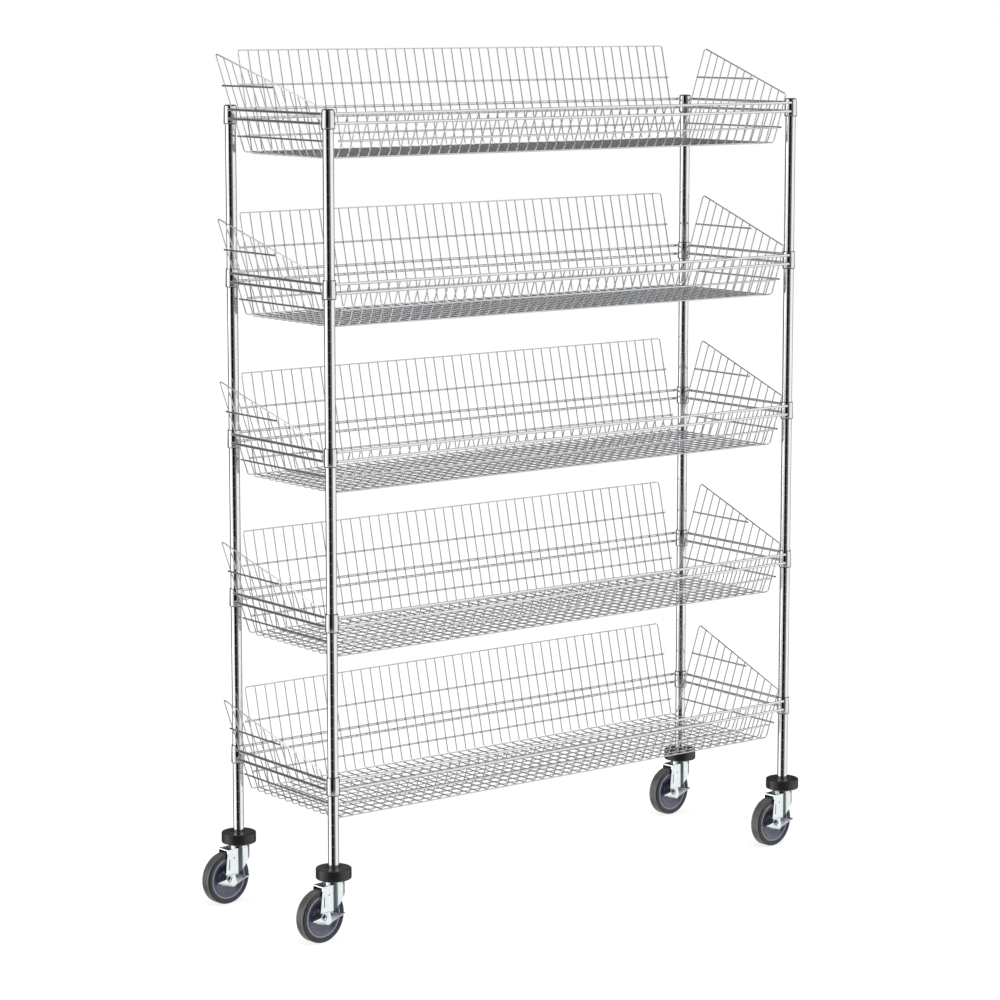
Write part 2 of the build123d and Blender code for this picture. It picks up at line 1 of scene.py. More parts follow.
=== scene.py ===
import json
import logging
import math
from dataclasses import dataclass, field
from enum import Enum
from typing import Sequence

import bmesh
import bpy
from mathutils import Matrix, Vector

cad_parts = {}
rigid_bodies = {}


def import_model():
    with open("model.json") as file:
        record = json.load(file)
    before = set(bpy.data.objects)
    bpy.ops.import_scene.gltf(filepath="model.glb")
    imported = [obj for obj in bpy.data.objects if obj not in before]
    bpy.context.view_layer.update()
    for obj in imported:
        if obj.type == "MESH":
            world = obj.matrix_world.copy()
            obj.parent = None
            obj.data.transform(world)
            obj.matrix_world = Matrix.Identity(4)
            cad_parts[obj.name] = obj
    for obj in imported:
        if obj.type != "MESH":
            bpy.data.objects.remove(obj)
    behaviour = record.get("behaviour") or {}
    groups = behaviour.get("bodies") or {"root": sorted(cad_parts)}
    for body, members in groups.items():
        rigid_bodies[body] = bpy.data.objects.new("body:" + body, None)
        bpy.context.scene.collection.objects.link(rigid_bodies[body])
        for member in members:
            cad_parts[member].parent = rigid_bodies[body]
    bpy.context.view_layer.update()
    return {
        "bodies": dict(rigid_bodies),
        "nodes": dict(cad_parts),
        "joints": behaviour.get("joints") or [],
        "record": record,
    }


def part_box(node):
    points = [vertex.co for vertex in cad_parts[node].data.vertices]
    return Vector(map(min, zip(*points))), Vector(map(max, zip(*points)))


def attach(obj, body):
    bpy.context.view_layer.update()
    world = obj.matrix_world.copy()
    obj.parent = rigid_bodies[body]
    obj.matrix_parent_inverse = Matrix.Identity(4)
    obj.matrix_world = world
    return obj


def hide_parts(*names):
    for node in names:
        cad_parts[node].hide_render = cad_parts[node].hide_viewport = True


log = logging.getLogger("wire_shelf_cart")
UP = Vector((0.0, 0.0, 1.0))
Tone = tuple[float, float, float]
FRAME: dict = {}
# Vertex layer of painted light: a painted highlight on the tyre tread (partly real wear), and a painted
# highlight on the wheel rim with painted shade in the wheel's dish.
PAINTED_LIGHT_AND_WEAR = "painted_light_and_wear"
SLIP = 0.00003
TOUCHING = 1e-7
EDGE_ANGLE = 0.5
SOFT_EDGE = 0.0004
BEND_STEPS = 4
HOLE_SIDES = 24
WIRE_SIDES = 8
BAR_SIDES = 12
RAIL_SIDES = 16


class Side(Enum):
    """Left or right half of the cart, as the sign of X."""

    LEFT = -1
    RIGHT = 1


class Corner(Enum):
    """The four post positions, named as the frame names them."""

    FRONT_LEFT = "front_left"
    FRONT_RIGHT = "front_right"
    BACK_LEFT = "back_left"
    BACK_RIGHT = "back_right"


# --- finishes
class NodeTree:
    """A node tree written socket by socket, starting empty."""

    def __init__(self, owner: bpy.types.ID) -> None:
        """Clear the tree of a material or a world."""
        owner.use_nodes = True
        self.tree = owner.node_tree
        self.tree.nodes.clear()

    def add(self, kind: str, **settings: object) -> bpy.types.Node:
        """Add a node and set its properties by name."""
        node = self.tree.nodes.new(kind)
        for key, value in settings.items():
            setattr(node, key, value)
        return node

    def join(self, source: bpy.types.NodeSocket, target: bpy.types.NodeSocket) -> None:
        """Link two sockets."""
        self.tree.links.new(source, target)

    def ramp(self, source: bpy.types.NodeSocket, **ends: float) -> bpy.types.NodeSocket:
        """Map a socket between From_Min, From_Max, To_Min and To_Max."""
        node = self.add("ShaderNodeMapRange")
        for key, value in ends.items():
            node.inputs[key.replace("_", " ")].default_value = value
        self.join(source, node.inputs["Value"])
        return node.outputs["Result"]

    def blend(self, factor: bpy.types.NodeSocket, first: object, second: object) -> bpy.types.NodeSocket:
        """Mix two colours, each a tone or a socket, by a factor socket."""
        node = self.add("ShaderNodeMix", data_type="RGBA")
        self.join(factor, node.inputs[0])
        for socket, value in ((node.inputs[6], first), (node.inputs[7], second)):
            if isinstance(value, bpy.types.NodeSocket):
                self.join(value, socket)
            else:
                socket.default_value = (*value, 1.0)
        return node.outputs[2]


class Recipe(NodeTree):
    """A material's node tree around one Principled shader."""

    def __init__(self, name: str) -> None:
        """Start a material with an output and a Principled shader."""
        self.material = bpy.data.materials.new(name)
        super().__init__(self.material)
        self.shader = self.add("ShaderNodeBsdfPrincipled")
        output = self.add("ShaderNodeOutputMaterial")
        self.join(self.shader.outputs["BSDF"], output.inputs["Surface"])
        self.place = self.add("ShaderNodeTexCoord").outputs["Object"]

    def fix(self, **values: object) -> None:
        """Set constant values on the shader's own sockets; underscores stand for spaces."""
        for key, value in values.items():
            self.shader.inputs[key.replace("_", " ")].default_value = value

    def noise(
        self, scale: float, detail: float = 4.0, stretch: Tone = (1.0, 1.0, 1.0)
    ) -> bpy.types.NodeSocket:
        """Noise over the piece's own coordinates.

        Args:
            scale: Cells per metre.
            detail: Octaves of the noise.
            stretch: Scale along each axis, for drawn or brushed looks.

        Returns:
            The noise's factor socket.
        """
        mapping = self.add("ShaderNodeMapping")
        mapping.inputs["Scale"].default_value = stretch
        self.join(self.place, mapping.inputs["Vector"])
        noise = self.add("ShaderNodeTexNoise")
        noise.inputs["Scale"].default_value = scale
        noise.inputs["Detail"].default_value = detail
        self.join(mapping.outputs["Vector"], noise.inputs["Vector"])
        return noise.outputs["Fac"]

    def spread(self, source: bpy.types.NodeSocket, low: float, high: float) -> bpy.types.NodeSocket:
        """Map a 0.3 to 0.7 noise onto a range of values."""
        return self.ramp(source, From_Min=0.3, From_Max=0.7, To_Min=low, To_Max=high)

    def relief(self, height: bpy.types.NodeSocket, depth: float) -> None:
        """Bump the surface by a height socket to a depth in metres."""
        bump = self.add("ShaderNodeBump")
        bump.inputs["Strength"].default_value = 1.0
        bump.inputs["Distance"].default_value = depth
        self.join(height, bump.inputs["Height"])
        self.join(bump.outputs["Normal"], self.shader.inputs["Normal"])


@dataclass(frozen=True)
class Chrome:
    """Bright chrome plating with a faint cloudiness and drawing marks."""

    name: str
    tone: Tone = (0.80, 0.81, 0.82)
    dull_tone: Tone = (0.70, 0.71, 0.73)
    roughness: tuple[float, float] = (0.05, 0.12)
    grain: Tone = (1.0, 1.0, 1.0)

    def build(self) -> bpy.types.Material:
        """Make the material."""
        recipe = Recipe(self.name)
        recipe.fix(Metallic=1.0)
        cloud = recipe.noise(9.0)
        recipe.join(recipe.blend(cloud, self.tone, self.dull_tone), recipe.shader.inputs["Base Color"])
        recipe.join(recipe.spread(cloud, *self.roughness), recipe.shader.inputs["Roughness"])
        recipe.relief(recipe.noise(240.0, 3.0, self.grain), 0.00001)
        return recipe.material


@dataclass(frozen=True)
class Zinc:
    """Blue-white zinc plating over pressed steel, mottled and slightly soft."""

    name: str
    tone: Tone = (0.62, 0.69, 0.72)
    pale: Tone = (0.84, 0.87, 0.88)
    roughness: tuple[float, float] = (0.22, 0.38)

    def build(self) -> bpy.types.Material:
        """Make the material."""
        recipe = Recipe(self.name)
        recipe.fix(Metallic=1.0)
        mottle = recipe.noise(85.0, 6.0)
        recipe.join(recipe.blend(mottle, self.tone, self.pale), recipe.shader.inputs["Base Color"])
        recipe.join(recipe.spread(recipe.noise(30.0), *self.roughness), recipe.shader.inputs["Roughness"])
        recipe.relief(recipe.noise(900.0, 4.0), 0.00003)
        return recipe.material


@dataclass(frozen=True)
class Moulded:
    """Moulded rubber or plastic with mild mottling, a fine grain, and painted highlight and shade where a
    piece carries a layer.
    """

    name: str
    tone: Tone
    # Pale tone: random mottle, and where a layer drives it, a painted highlight.
    wear_and_sheen_tone: Tone
    roughness: tuple[float, float] = (0.35, 0.5)
    grain_depth: float = 0.00002
    grain_scale: float = 1400.0
    light_and_wear_layer: str = ""
    gloss: float = 0.5

    def build(self) -> bpy.types.Material:
        """Make the material; a named layer blends towards the pale tone, painting highlight and shade, where
        the piece carries one.
        """
        recipe = Recipe(self.name)
        recipe.fix(Specular_IOR_Level=self.gloss)
        mottle = recipe.spread(recipe.noise(60.0, 5.0), 0.0, 0.12)
        colour = recipe.blend(mottle, self.tone, self.wear_and_sheen_tone)
        if self.light_and_wear_layer:
            layer = recipe.add("ShaderNodeAttribute", attribute_name=self.light_and_wear_layer)
            colour = recipe.blend(layer.outputs["Fac"], colour, self.wear_and_sheen_tone)
        recipe.join(colour, recipe.shader.inputs["Base Color"])
        recipe.join(recipe.spread(recipe.noise(45.0), *self.roughness), recipe.shader.inputs["Roughness"])
        recipe.relief(recipe.noise(self.grain_scale, 3.0), self.grain_depth)
        return recipe.material


@dataclass(frozen=True)
class Finishes:
    """Every finish of the cart, made once."""

    post: bpy.types.Material
    rail: bpy.types.Material
    wire: bpy.types.Material
    cap: bpy.types.Material
    bumper: bpy.types.Material
    tyre: bpy.types.Material
    wheel: bpy.types.Material
    zinc: bpy.types.Material
    bolt: bpy.types.Material

    @classmethod
    def mix(cls) -> "Finishes":
        """Build the whole set."""
        bright = (0.74, 0.75, 0.76), (0.64, 0.65, 0.67), (0.08, 0.16)
        drawn = (0.67, 0.68, 0.69), (0.55, 0.56, 0.58), (0.10, 0.20)
        black = (0.014, 0.014, 0.015), (0.03, 0.03, 0.03), (0.3, 0.42)
        sooty = (0.010, 0.009, 0.008), (0.022, 0.020, 0.019), (0.30, 0.45)
        # Tyre tread's pale tone: partly real wear, partly a painted highlight.
        tread = (0.012, 0.011, 0.012), (0.09, 0.085, 0.088), (0.16, 0.28)
        # Wheel's pale tone is a painted highlight on the rim lip; the dark base stands for painted shade in
        # the dish.
        slate = (0.012, 0.015, 0.036), (0.20, 0.215, 0.32), (0.16, 0.26)
        dull = (0.5, 0.53, 0.56), (0.68, 0.70, 0.72), (0.3, 0.45)
        return cls(
            post=Chrome("polished_post_chrome", grain=(1.0, 1.0, 0.05)).build(),
            rail=Chrome("rail_chrome", *bright).build(),
            wire=Chrome("wire_chrome", *drawn).build(),
            cap=Moulded("black_cap_plastic", *black).build(),
            bumper=Moulded("bumper_rubber", *sooty).build(),
            tyre=Moulded("tyre_rubber", *tread, light_and_wear_layer=PAINTED_LIGHT_AND_WEAR).build(),
            wheel=Moulded("slate_wheel_plastic", *slate, light_and_wear_layer=PAINTED_LIGHT_AND_WEAR, gloss=0.9).build(),
            zinc=Zinc("fork_zinc", roughness=(0.12, 0.24)).build(),
            bolt=Zinc("bolt_zinc", *dull).build(),
        )


def dress(name: str, material: bpy.types.Material) -> None:
    """Put a finish on a piece that keeps its own mesh.

    Args:
        name: The piece's name in the frame.
        material: The finish for each of its slots.
    """
    node = FRAME["nodes"][name]
    for slot in node.material_slots:
        slot.material = material
    log.info("%s dressed", name)


# --- mesh work
class Workpiece:
    """One piece under construction: a bmesh and the operations that shape it."""

    def __init__(self) -> None:
        """Start with nothing."""
        self.bm = bmesh.new()

    def rod(self, start: Vector, end: Vector, radius: float, sides: int = WIRE_SIDES) -> None:
        """Add a straight round rod with flat ends."""
        axis = end - start
        turn = axis.to_track_quat("Z", "Y").to_matrix().to_4x4()
        bmesh.ops.create_cone(
            self.bm,
            cap_ends=True,
            cap_tris=False,
            segments=sides,
            radius1=radius,
            radius2=radius,
            depth=axis.length,
            matrix=Matrix.Translation((start + end) / 2) @ turn,
        )

    def bent_rod(
        self,
        points: Sequence[Vector],
        bends: Sequence[float],
        radius: float,
    ) -> list[bmesh.types.BMVert]:
        """Draw a round rod along straight runs with a round bend at each inner point.

        Args:
            points: Ends and corners of the route.
            bends: Bend radius at each inner point.
            radius: Radius of the rod.

        Returns:
            The new vertices.
        """
        before = set(self.bm.verts)
        heading = (points[1] - points[0]).normalized()
        turn = heading.to_track_quat("Z", "Y").to_matrix().to_4x4()
        made = bmesh.ops.create_circle(
            self.bm,
            cap_ends=True,
            segments=WIRE_SIDES,
            radius=radius,
            matrix=Matrix.Translation(points[0]) @ turn,
        )
        ring = set(made["verts"])
        at = points[0]
        for corner, after, bend in zip(points[1:], points[2:], bends):
            following = (after - corner).normalized()
            angle = heading.angle(following)
            setback = bend * math.tan(angle / 2)
            axis = heading.cross(following).normalized()
            ring = self._carry(ring, corner - heading * setback - at)
            centre = corner - heading * setback + axis.cross(heading) * bend
            ring = self._sweep(ring, centre, axis, angle)
            at = corner + following * setback
            heading = following
        ring = self._carry(ring, points[-1] - at)
        bmesh.ops.contextual_create(self.bm, geom=self._rim(ring))
        return [v for v in self.bm.verts if v not in before]

    def _rim(self, ring: set[bmesh.types.BMVert]) -> list[bmesh.types.BMEdge]:
        """Edges that run between the vertices of a ring."""
        return list({e for v in ring for e in v.link_edges if e.other_vert(v) in ring})

    def _carry(self, ring: set[bmesh.types.BMVert], move: Vector) -> set[bmesh.types.BMVert]:
        """Extrude a ring straight along a move and return the new ring."""
        made = bmesh.ops.extrude_edge_only(self.bm, edges=self._rim(ring))["geom"]
        fresh = {g for g in made if isinstance(g, bmesh.types.BMVert)}
        bmesh.ops.translate(self.bm, verts=list(fresh), vec=move)
        return fresh

    def _sweep(
        self, ring: set[bmesh.types.BMVert], centre: Vector, axis: Vector, angle: float
    ) -> set[bmesh.types.BMVert]:
        """Extrude a ring round an axis and return the new ring."""
        made = bmesh.ops.spin(
            self.bm,
            geom=[*ring, *self._rim(ring)],
            cent=centre,
            axis=axis,
            dvec=(0.0, 0.0, 0.0),
            angle=angle,
            steps=BEND_STEPS,
            use_merge=False,
            use_duplicate=False,
        )
        return {g for g in made["geom_last"] if isinstance(g, bmesh.types.BMVert)}

    def repeat(self, verts: Sequence[bmesh.types.BMVert], moves: Sequence[Vector]) -> None:
        """Copy part of the piece once for each move, leaving the first where it is."""
        geom = list({f for v in verts for f in v.link_faces})
        for move in moves:
            made = bmesh.ops.duplicate(self.bm, geom=geom)["geom"]
            fresh = [g for g in made if isinstance(g, bmesh.types.BMVert)]
            bmesh.ops.translate(self.bm, verts=fresh, vec=move)

    def turned(self, outline: Sequence[tuple[float, float]], place: Matrix, steps: int) -> None:
        """Spin an outline of radius and height pairs once round the place's own Z axis.

        Args:
            outline: Corners of the half section; it is closed unless both ends lie on the axis.
            place: Where the part's own axis and zero height stand.
            steps: Faces round the part.
        """
        corners = [self.bm.verts.new(place @ Vector((r, 0.0, h))) for r, h in outline]
        pairs = list(zip(corners, corners[1:]))
        if outline[0][0] > 0.0:
            pairs.append((corners[-1], corners[0]))
        edges = [self.bm.edges.new(pair) for pair in pairs]
        bmesh.ops.spin(
            self.bm,
            geom=[*corners, *edges],
            cent=place.translation,
            axis=place.to_3x3() @ UP,
            dvec=(0.0, 0.0, 0.0),
            angle=2 * math.pi,
            steps=steps,
            use_merge=True,
            use_duplicate=False,
        )

    def sheet(
        self,
        outline: Sequence[tuple[float, float]],
        place: Matrix,
        thickness: float,
        hole: float = 0.0,
    ) -> None:
        """Add a flat pressed sheet with softened edges.

        Args:
            outline: Corners in the place's own XY plane.
            place: Where the sheet's underside lies; it grows along the place's Z.
            thickness: Thickness of the sheet.
            hole: Radius of a round hole at the place's origin, or none.
        """
        before = set(self.bm.edges)
        corners = [self.bm.verts.new(place @ Vector((x, y, 0.0))) for x, y in outline]
        for pair in zip(corners, corners[1:] + corners[:1]):
            self.bm.edges.new(pair)
        if hole > 0.0:
            bmesh.ops.create_circle(self.bm, segments=HOLE_SIDES, radius=hole, matrix=place)
        rim = [e for e in self.bm.edges if e not in before]
        out = place.to_3x3() @ UP
        made = bmesh.ops.triangle_fill(self.bm, edges=rim, normal=out, use_beauty=True)["geom"]
        faces = [g for g in made if isinstance(g, bmesh.types.BMFace)]
        grown = bmesh.ops.extrude_face_region(self.bm, geom=faces)["geom"]
        lifted = [g for g in grown if isinstance(g, bmesh.types.BMVert)]
        bmesh.ops.translate(self.bm, verts=lifted, vec=out * thickness)
        folds = [e for e in self.bm.edges if e not in before and len(e.link_faces) == 2]
        sharp = [e for e in folds if e.calc_face_angle() > EDGE_ANGLE]
        bmesh.ops.bevel(
            self.bm,
            geom=sharp,
            offset=SOFT_EDGE,
            affect="EDGES",
            segments=2,
            profile=0.5,
            material=-1,
            clamp_overlap=True,
        )

    def paint_light_and_wear(self, axle: Matrix, shares: Sequence[tuple[float, float]]) -> None:
        """Write how pale each point is, from its distance to the axle: painted highlight and shade, and on
        the tyre tread partly real wear.

        Args:
            axle: Place whose Z axis the piece turns on.
            shares: Radius and share pairs, in order of radius, with straight runs between them.
        """
        layer = self.bm.verts.layers.float.new(PAINTED_LIGHT_AND_WEAR)
        home = axle.inverted()
        for vert in self.bm.verts:
            local = home @ vert.co
            radius = math.hypot(local.x, local.y)
            value = shares[-1][1] if radius > shares[-1][0] else shares[0][1]
            for (low, first), (high, second) in zip(shares, shares[1:]):
                if low <= radius <= high:
                    value = first + (second - first) * (radius - low) / (high - low)
            vert[layer] = value

    def finish(
        self,
        name: str,
        body: str,
        material: bpy.types.Material,
        replaces: Sequence[str],
        sharp_angle: float = 0.6,
    ) -> None:
        """Close the piece, put it in the scene on its body and hide the CAD nodes that it stands for.

        Args:
            name: Name of the piece.
            body: CAD body that it rides on.
            material: Its finish.
            replaces: CAD nodes that it stands for.
            sharp_angle: Angle in radians above which an edge is shaded sharp.
        """
        bmesh.ops.remove_doubles(self.bm, verts=self.bm.verts[:], dist=TOUCHING)
        bmesh.ops.recalc_face_normals(self.bm, faces=self.bm.faces[:])
        for face in self.bm.faces:
            face.smooth = True
        mesh = bpy.data.meshes.new(name)
        self.bm.to_mesh(mesh)
        self.bm.free()
        mesh.set_sharp_from_angle(angle=sharp_angle)
        mesh.materials.append(material)
        piece = bpy.data.objects.new(name, mesh)
        bpy.context.scene.collection.objects.link(piece)
        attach(piece, body)
        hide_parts(*replaces)
        log.info("%s: %d faces on %s", name, len(mesh.polygons), body)


# --- sub-assemblies
def middle(low: Sequence[float], high: Sequence[float], height: float) -> Vector:
    """Point midway across a box, at a height."""
    return Vector(((low[0] + high[0]) / 2, (low[1] + high[1]) / 2, height))


@dataclass
class Layout:
    """Where posts and levels stand, read from the frame."""

    posts: dict[Corner, Vector]
    levels: list[float]
    foot: float
    level_count: int = 5

    @classmethod
    def read(cls) -> "Layout":
        """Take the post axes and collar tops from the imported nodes."""
        posts = {}
        foot = 0.0
        for corner in Corner:
            low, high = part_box(f"post_{corner.value}")
            posts[corner] = middle(low, high, 0.0)
            foot = low[2]
        levels = [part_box(f"shelf_{n}_frame")[1][2] for n in range(1, cls.level_count + 1)]
        return cls(posts, levels, foot)

    @property
    def half_x(self) -> float:
        """Half the distance between the left and right post axes."""
        return self.posts[Corner.FRONT_RIGHT].x

    @property
    def half_y(self) -> float:
        """Half the distance between the front and back post axes."""
        return self.posts[Corner.BACK_LEFT].y


@dataclass
class Posts:
    """Grooved posts, their caps and the split sleeves in the collars."""

    layout: Layout
    finishes: Finishes
    radius: float = 0.0127
    wall: float = 0.0012
    groove_pitch: float = 0.0254
    groove_width: float = 0.0018
    groove_depth: float = 0.00011
    cap_height: float = 0.0028
    collar_height: float = 0.040
    sleeve_bead: tuple[float, float] = (0.0016, 0.0022)
    bead_radius: tuple[float, float] = (0.0144, 0.0155)
    bead_edge: float = 0.0006
    sleeve_radius: tuple[float, float] = (0.0136, 0.0146)
    sides: int = 40
    sleeve_sides: int = 32
    facet_angle: float = 0.2

    def build(self) -> None:
        """Make every piece."""
        for corner in Corner:
            self.build_post(corner)
        self.build_caps()
        self.build_sleeves()
        dress("post_inserts", self.finishes.bolt)

    def build_post(self, corner: Corner) -> None:
        """One tube with a ring groove at every pitch."""
        length = self.layout.levels[-1] - self.layout.foot
        grooves = int((length - self.groove_pitch) / self.groove_pitch)
        inner = self.radius - self.wall
        outline = [(inner, 0.0), (self.radius, 0.0)]
        for n in range(1, grooves + 1):
            middle = n * self.groove_pitch
            half = self.groove_width / 2
            floor = self.radius - self.groove_depth
            outline += [
                (self.radius, middle - half),
                (floor, middle - half / 2),
                (floor, middle + half / 2),
                (self.radius, middle + half),
            ]
        outline += [(self.radius, length), (inner, length)]
        work = Workpiece()
        foot = self.layout.posts[corner] + UP * self.layout.foot
        work.turned(outline, Matrix.Translation(foot), self.sides)
        name = f"post_{corner.value}"
        work.finish(f"{name}_tube", "cart_frame", self.finishes.post, [name], self.facet_angle)

    def build_caps(self) -> None:
        """Black caps with a rounded rim."""
        top = self.layout.levels[-1]
        plug, depth = self.radius - self.wall - SLIP, -5 * self.cap_height
        outline = [
            (0.0, depth),
            (plug, depth),
            (plug, 0.0),
            (self.radius, 0.0),
            (self.radius, self.cap_height * 0.55),
            (self.radius * 0.94, self.cap_height * 0.9),
            (self.radius * 0.82, self.cap_height),
            (0.0, self.cap_height),
        ]
        work = Workpiece()
        for place in self.layout.posts.values():
            work.turned(outline, Matrix.Translation(place + UP * top), self.sides)
        work.finish("post_end_caps", "cart_frame", self.finishes.cap, ["post_caps"])

    def build_sleeves(self) -> None:
        """A tapered sleeve at each collar, showing as a dark bead above and below it."""
        bore = self.radius + SLIP
        upper, lower = self.sleeve_radius
        bead_top, bead_foot = self.bead_radius
        rise, drop = self.sleeve_bead
        foot, edge = -self.collar_height, self.bead_edge
        outline = [
            (bore, foot - drop),
            (bead_foot - edge, foot - drop),
            (bead_foot, foot - drop + edge),
            (bead_foot, foot),
            (lower, foot),
            (upper, 0.0),
            (bead_top, 0.0),
            (bead_top, rise - edge),
            (bead_top - edge, rise),
            (bore, rise),
        ]
        work = Workpiece()
        for place in self.layout.posts.values():
            for level in self.layout.levels:
                work.turned(outline, Matrix.Translation(place + UP * level), self.sleeve_sides)
        work.finish("split_sleeves", "cart_frame", self.finishes.cap, ["post_sleeves"])


@dataclass
class Basket:
    """One shelf level: collars, rails, floor grille and sloping wall grilles."""

    layout: Layout
    finishes: Finishes
    number: int
    rail_radius: float = 0.0032
    rail_outset: float = 0.011
    rail_depths: tuple[float, float] = (0.008, 0.0295)
    collar_height: float = 0.040
    collar_radius: tuple[float, float] = (0.015, 0.016)
    collar_wall: float = 0.0014
    collar_lip: float = 0.0007
    collar_sides: int = 36
    rail_seat: float = 0.0006
    wire_radius: float = 0.0015
    bar_radius: float = 0.00225
    weld: float = 0.0003
    floor_depth: float = 0.1086
    front_inset: float = 0.033
    back_inset: float = 0.018
    side_inset: float = 0.0276
    front_slope: float = 0.431
    back_slope: float = 0.245
    side_slope: float = 0.338
    bend: float = 0.010
    side_bend: float = 0.009
    corner_bend: float = 0.006
    stub: float = 0.002
    cross_wires: int = 47
    cross_span: float = 1.302
    long_wires: int = 13
    back_top: float = 0.128
    low_bar: float = -0.070
    high_bar: float = 0.0475
    bar_overhang: float = 0.010
    side_top: tuple[float, float] = (0.012, 0.122)
    high_bar_length: float = 0.218

    def __post_init__(self) -> None:
        """Work out the heights and edges that the parts share."""
        self.level = self.layout.levels[self.number - 1]
        self.front = self.front_inset - self.layout.half_y
        self.back = self.layout.half_y - self.back_inset
        self.edge = self.layout.half_x - self.side_inset
        self.layer = self.wire_radius - self.weld / 2
        self.cross_z = self.level - self.floor_depth + self.layer
        self.long_z = self.level - self.floor_depth - self.layer
        self.cross_xs = [
            self.cross_span * (n / (self.cross_wires - 1) - 0.5) for n in range(self.cross_wires)
        ]
        pitch = (self.back - self.front) / (self.long_wires - 1)
        self.long_places = [(self.front + n * pitch, self.long_z) for n in range(self.long_wires)]
        self.long_places[0] = self.edge_place(self.front, self.front_slope, 1)
        self.long_places[-1] = self.edge_place(self.back, self.back_slope, -1)

    def setback(self, bend: float, slope: float) -> float:
        """Distance from a floor corner to where floor wires meet a wall's bent wires."""
        return bend * math.tan((math.pi / 2 - math.atan(slope)) / 2) + self.stub

    def edge_place(self, edge: float, slope: float, inward: int) -> tuple[float, float]:
        """Y and Z of the lengthways wire on the outer side of a floor bend."""
        turn = math.pi / 2 - math.atan(slope)
        reach = self.bend + 2 * self.layer
        y = edge + inward * (self.bend * math.tan(turn / 2) - reach * math.sin(turn / 2))
        return y, self.cross_z + self.bend - reach * math.cos(turn / 2)

    def outside(self, slope: float) -> float:
        """Sideways distance from a wall wire to a bar on its outer side."""
        return (self.wire_radius + self.bar_radius - self.weld) * math.hypot(1, slope)

    def front_y(self, z: float) -> float:
        """Y of the front wall's wires at a height."""
        return self.front - self.front_slope * (z - self.cross_z)

    def back_y(self, z: float) -> float:
        """Y of the back wall's wires at a height."""
        return self.back + self.back_slope * (z - self.cross_z)

    def side_x(self, z: float) -> float:
        """X of the right side wall's wires at a height."""
        return self.edge + self.side_slope * (z - self.level + self.floor_depth)

    def build(self) -> None:
        """Make every piece of the level."""
        self.build_frame()
        self.build_floor()
        self.build_front()
        self.build_back()
        self.build_sides()

    def build_frame(self) -> None:
        """Tapered collars and the two rails on each side between them."""
        work = Workpiece()
        top, foot = self.collar_radius
        lip = self.collar_lip
        outline = [
            (top - self.collar_wall, -lip),
            (top - self.collar_wall + lip, 0.0),
            (top - lip / 2, 0.0),
            (top, -lip),
            (foot, -self.collar_height + lip),
            (foot - lip / 2, -self.collar_height),
            (foot - self.collar_wall + lip, -self.collar_height),
            (foot - self.collar_wall, -self.collar_height + lip),
        ]
        for place in self.layout.posts.values():
            work.turned(outline, Matrix.Translation(place + UP * self.level), self.collar_sides)
        half_x, half_y = self.layout.half_x, self.layout.half_y
        for depth in self.rail_depths:
            z = self.level - depth
            reach = top + (foot - top) * depth / self.collar_height - self.rail_seat
            cut = math.sqrt(reach**2 - self.rail_outset**2)
            for sign in (-1, 1):
                y = sign * (half_y + self.rail_outset)
                x = sign * (half_x + self.rail_outset)
                end_x, end_y = half_x - cut, half_y - cut
                work.rod(Vector((-end_x, y, z)), Vector((end_x, y, z)), self.rail_radius, RAIL_SIDES)
                work.rod(Vector((x, -end_y, z)), Vector((x, end_y, z)), self.rail_radius, RAIL_SIDES)
        node = f"shelf_{self.number}_frame"
        work.finish(f"{node}_rails", "cart_frame", self.finishes.rail, [node])

    def build_floor(self) -> None:
        """Lengthways wires under crossways wires."""
        work = Workpiece()
        front = self.front + self.setback(self.bend, self.front_slope)
        back = self.back - self.setback(self.bend, self.back_slope)
        for place in self.long_places[1:-1]:
            self.add_long_wire(work, place)
        for x in self.cross_xs:
            work.rod(Vector((x, front, self.cross_z)), Vector((x, back, self.cross_z)), self.wire_radius)
        self.hang(work, "floor", "grille")

    def hang(self, work: Workpiece, wall: str, ending: str) -> None:
        """Finish a grille that stands for the level's node of that name."""
        node = f"shelf_{self.number}_{wall}"
        work.finish(f"{node}_{ending}", "cart_frame", self.finishes.wire, [node])

    def add_bar(self, work: Workpiece, start: Vector, end: Vector) -> None:
        """One thicker straight bar."""
        work.rod(start, end, self.bar_radius, BAR_SIDES)

    def add_uprights(self, work: Workpiece, route: Sequence[Vector], skip: int) -> None:
        """Repeat a crossways wire's upright at every place but the first and last skipped ones."""
        xs = self.cross_xs[skip : len(self.cross_xs) - skip]
        made = work.bent_rod([p + Vector((xs[0], 0, 0)) for p in route], [self.bend], self.wire_radius)
        work.repeat(made, [Vector((x - xs[0], 0.0, 0.0)) for x in xs[1:]])

    def add_long_wire(self, work: Workpiece, place: tuple[float, float]) -> None:
        """One lengthways wire of the floor, or of the bend at its front or back."""
        end = self.edge - self.setback(self.side_bend, self.side_slope)
        y, z = place
        work.rod(Vector((-end, y, z)), Vector((end, y, z)), self.wire_radius)

    def build_front(self) -> None:
        """Front wall up to the upper rail, with one bar outside."""
        work = Workpiece()
        start = self.front + self.setback(self.bend, self.front_slope)
        top = self.level - self.rail_depths[0] - (self.rail_radius + self.wire_radius - self.weld) / 2
        route = [
            Vector((0.0, start, self.cross_z)),
            Vector((0.0, self.front, self.cross_z)),
            Vector((0.0, self.front_y(top), top)),
        ]
        self.add_uprights(work, route, 0)
        self.add_long_wire(work, self.long_places[0])
        z = self.level + self.low_bar
        y = self.front_y(z) - self.outside(self.front_slope)
        x = self.cross_span / 2 + self.bar_overhang
        self.add_bar(work, Vector((-x, y, z)), Vector((x, y, z)))
        self.hang(work, "front_wall", "grille")

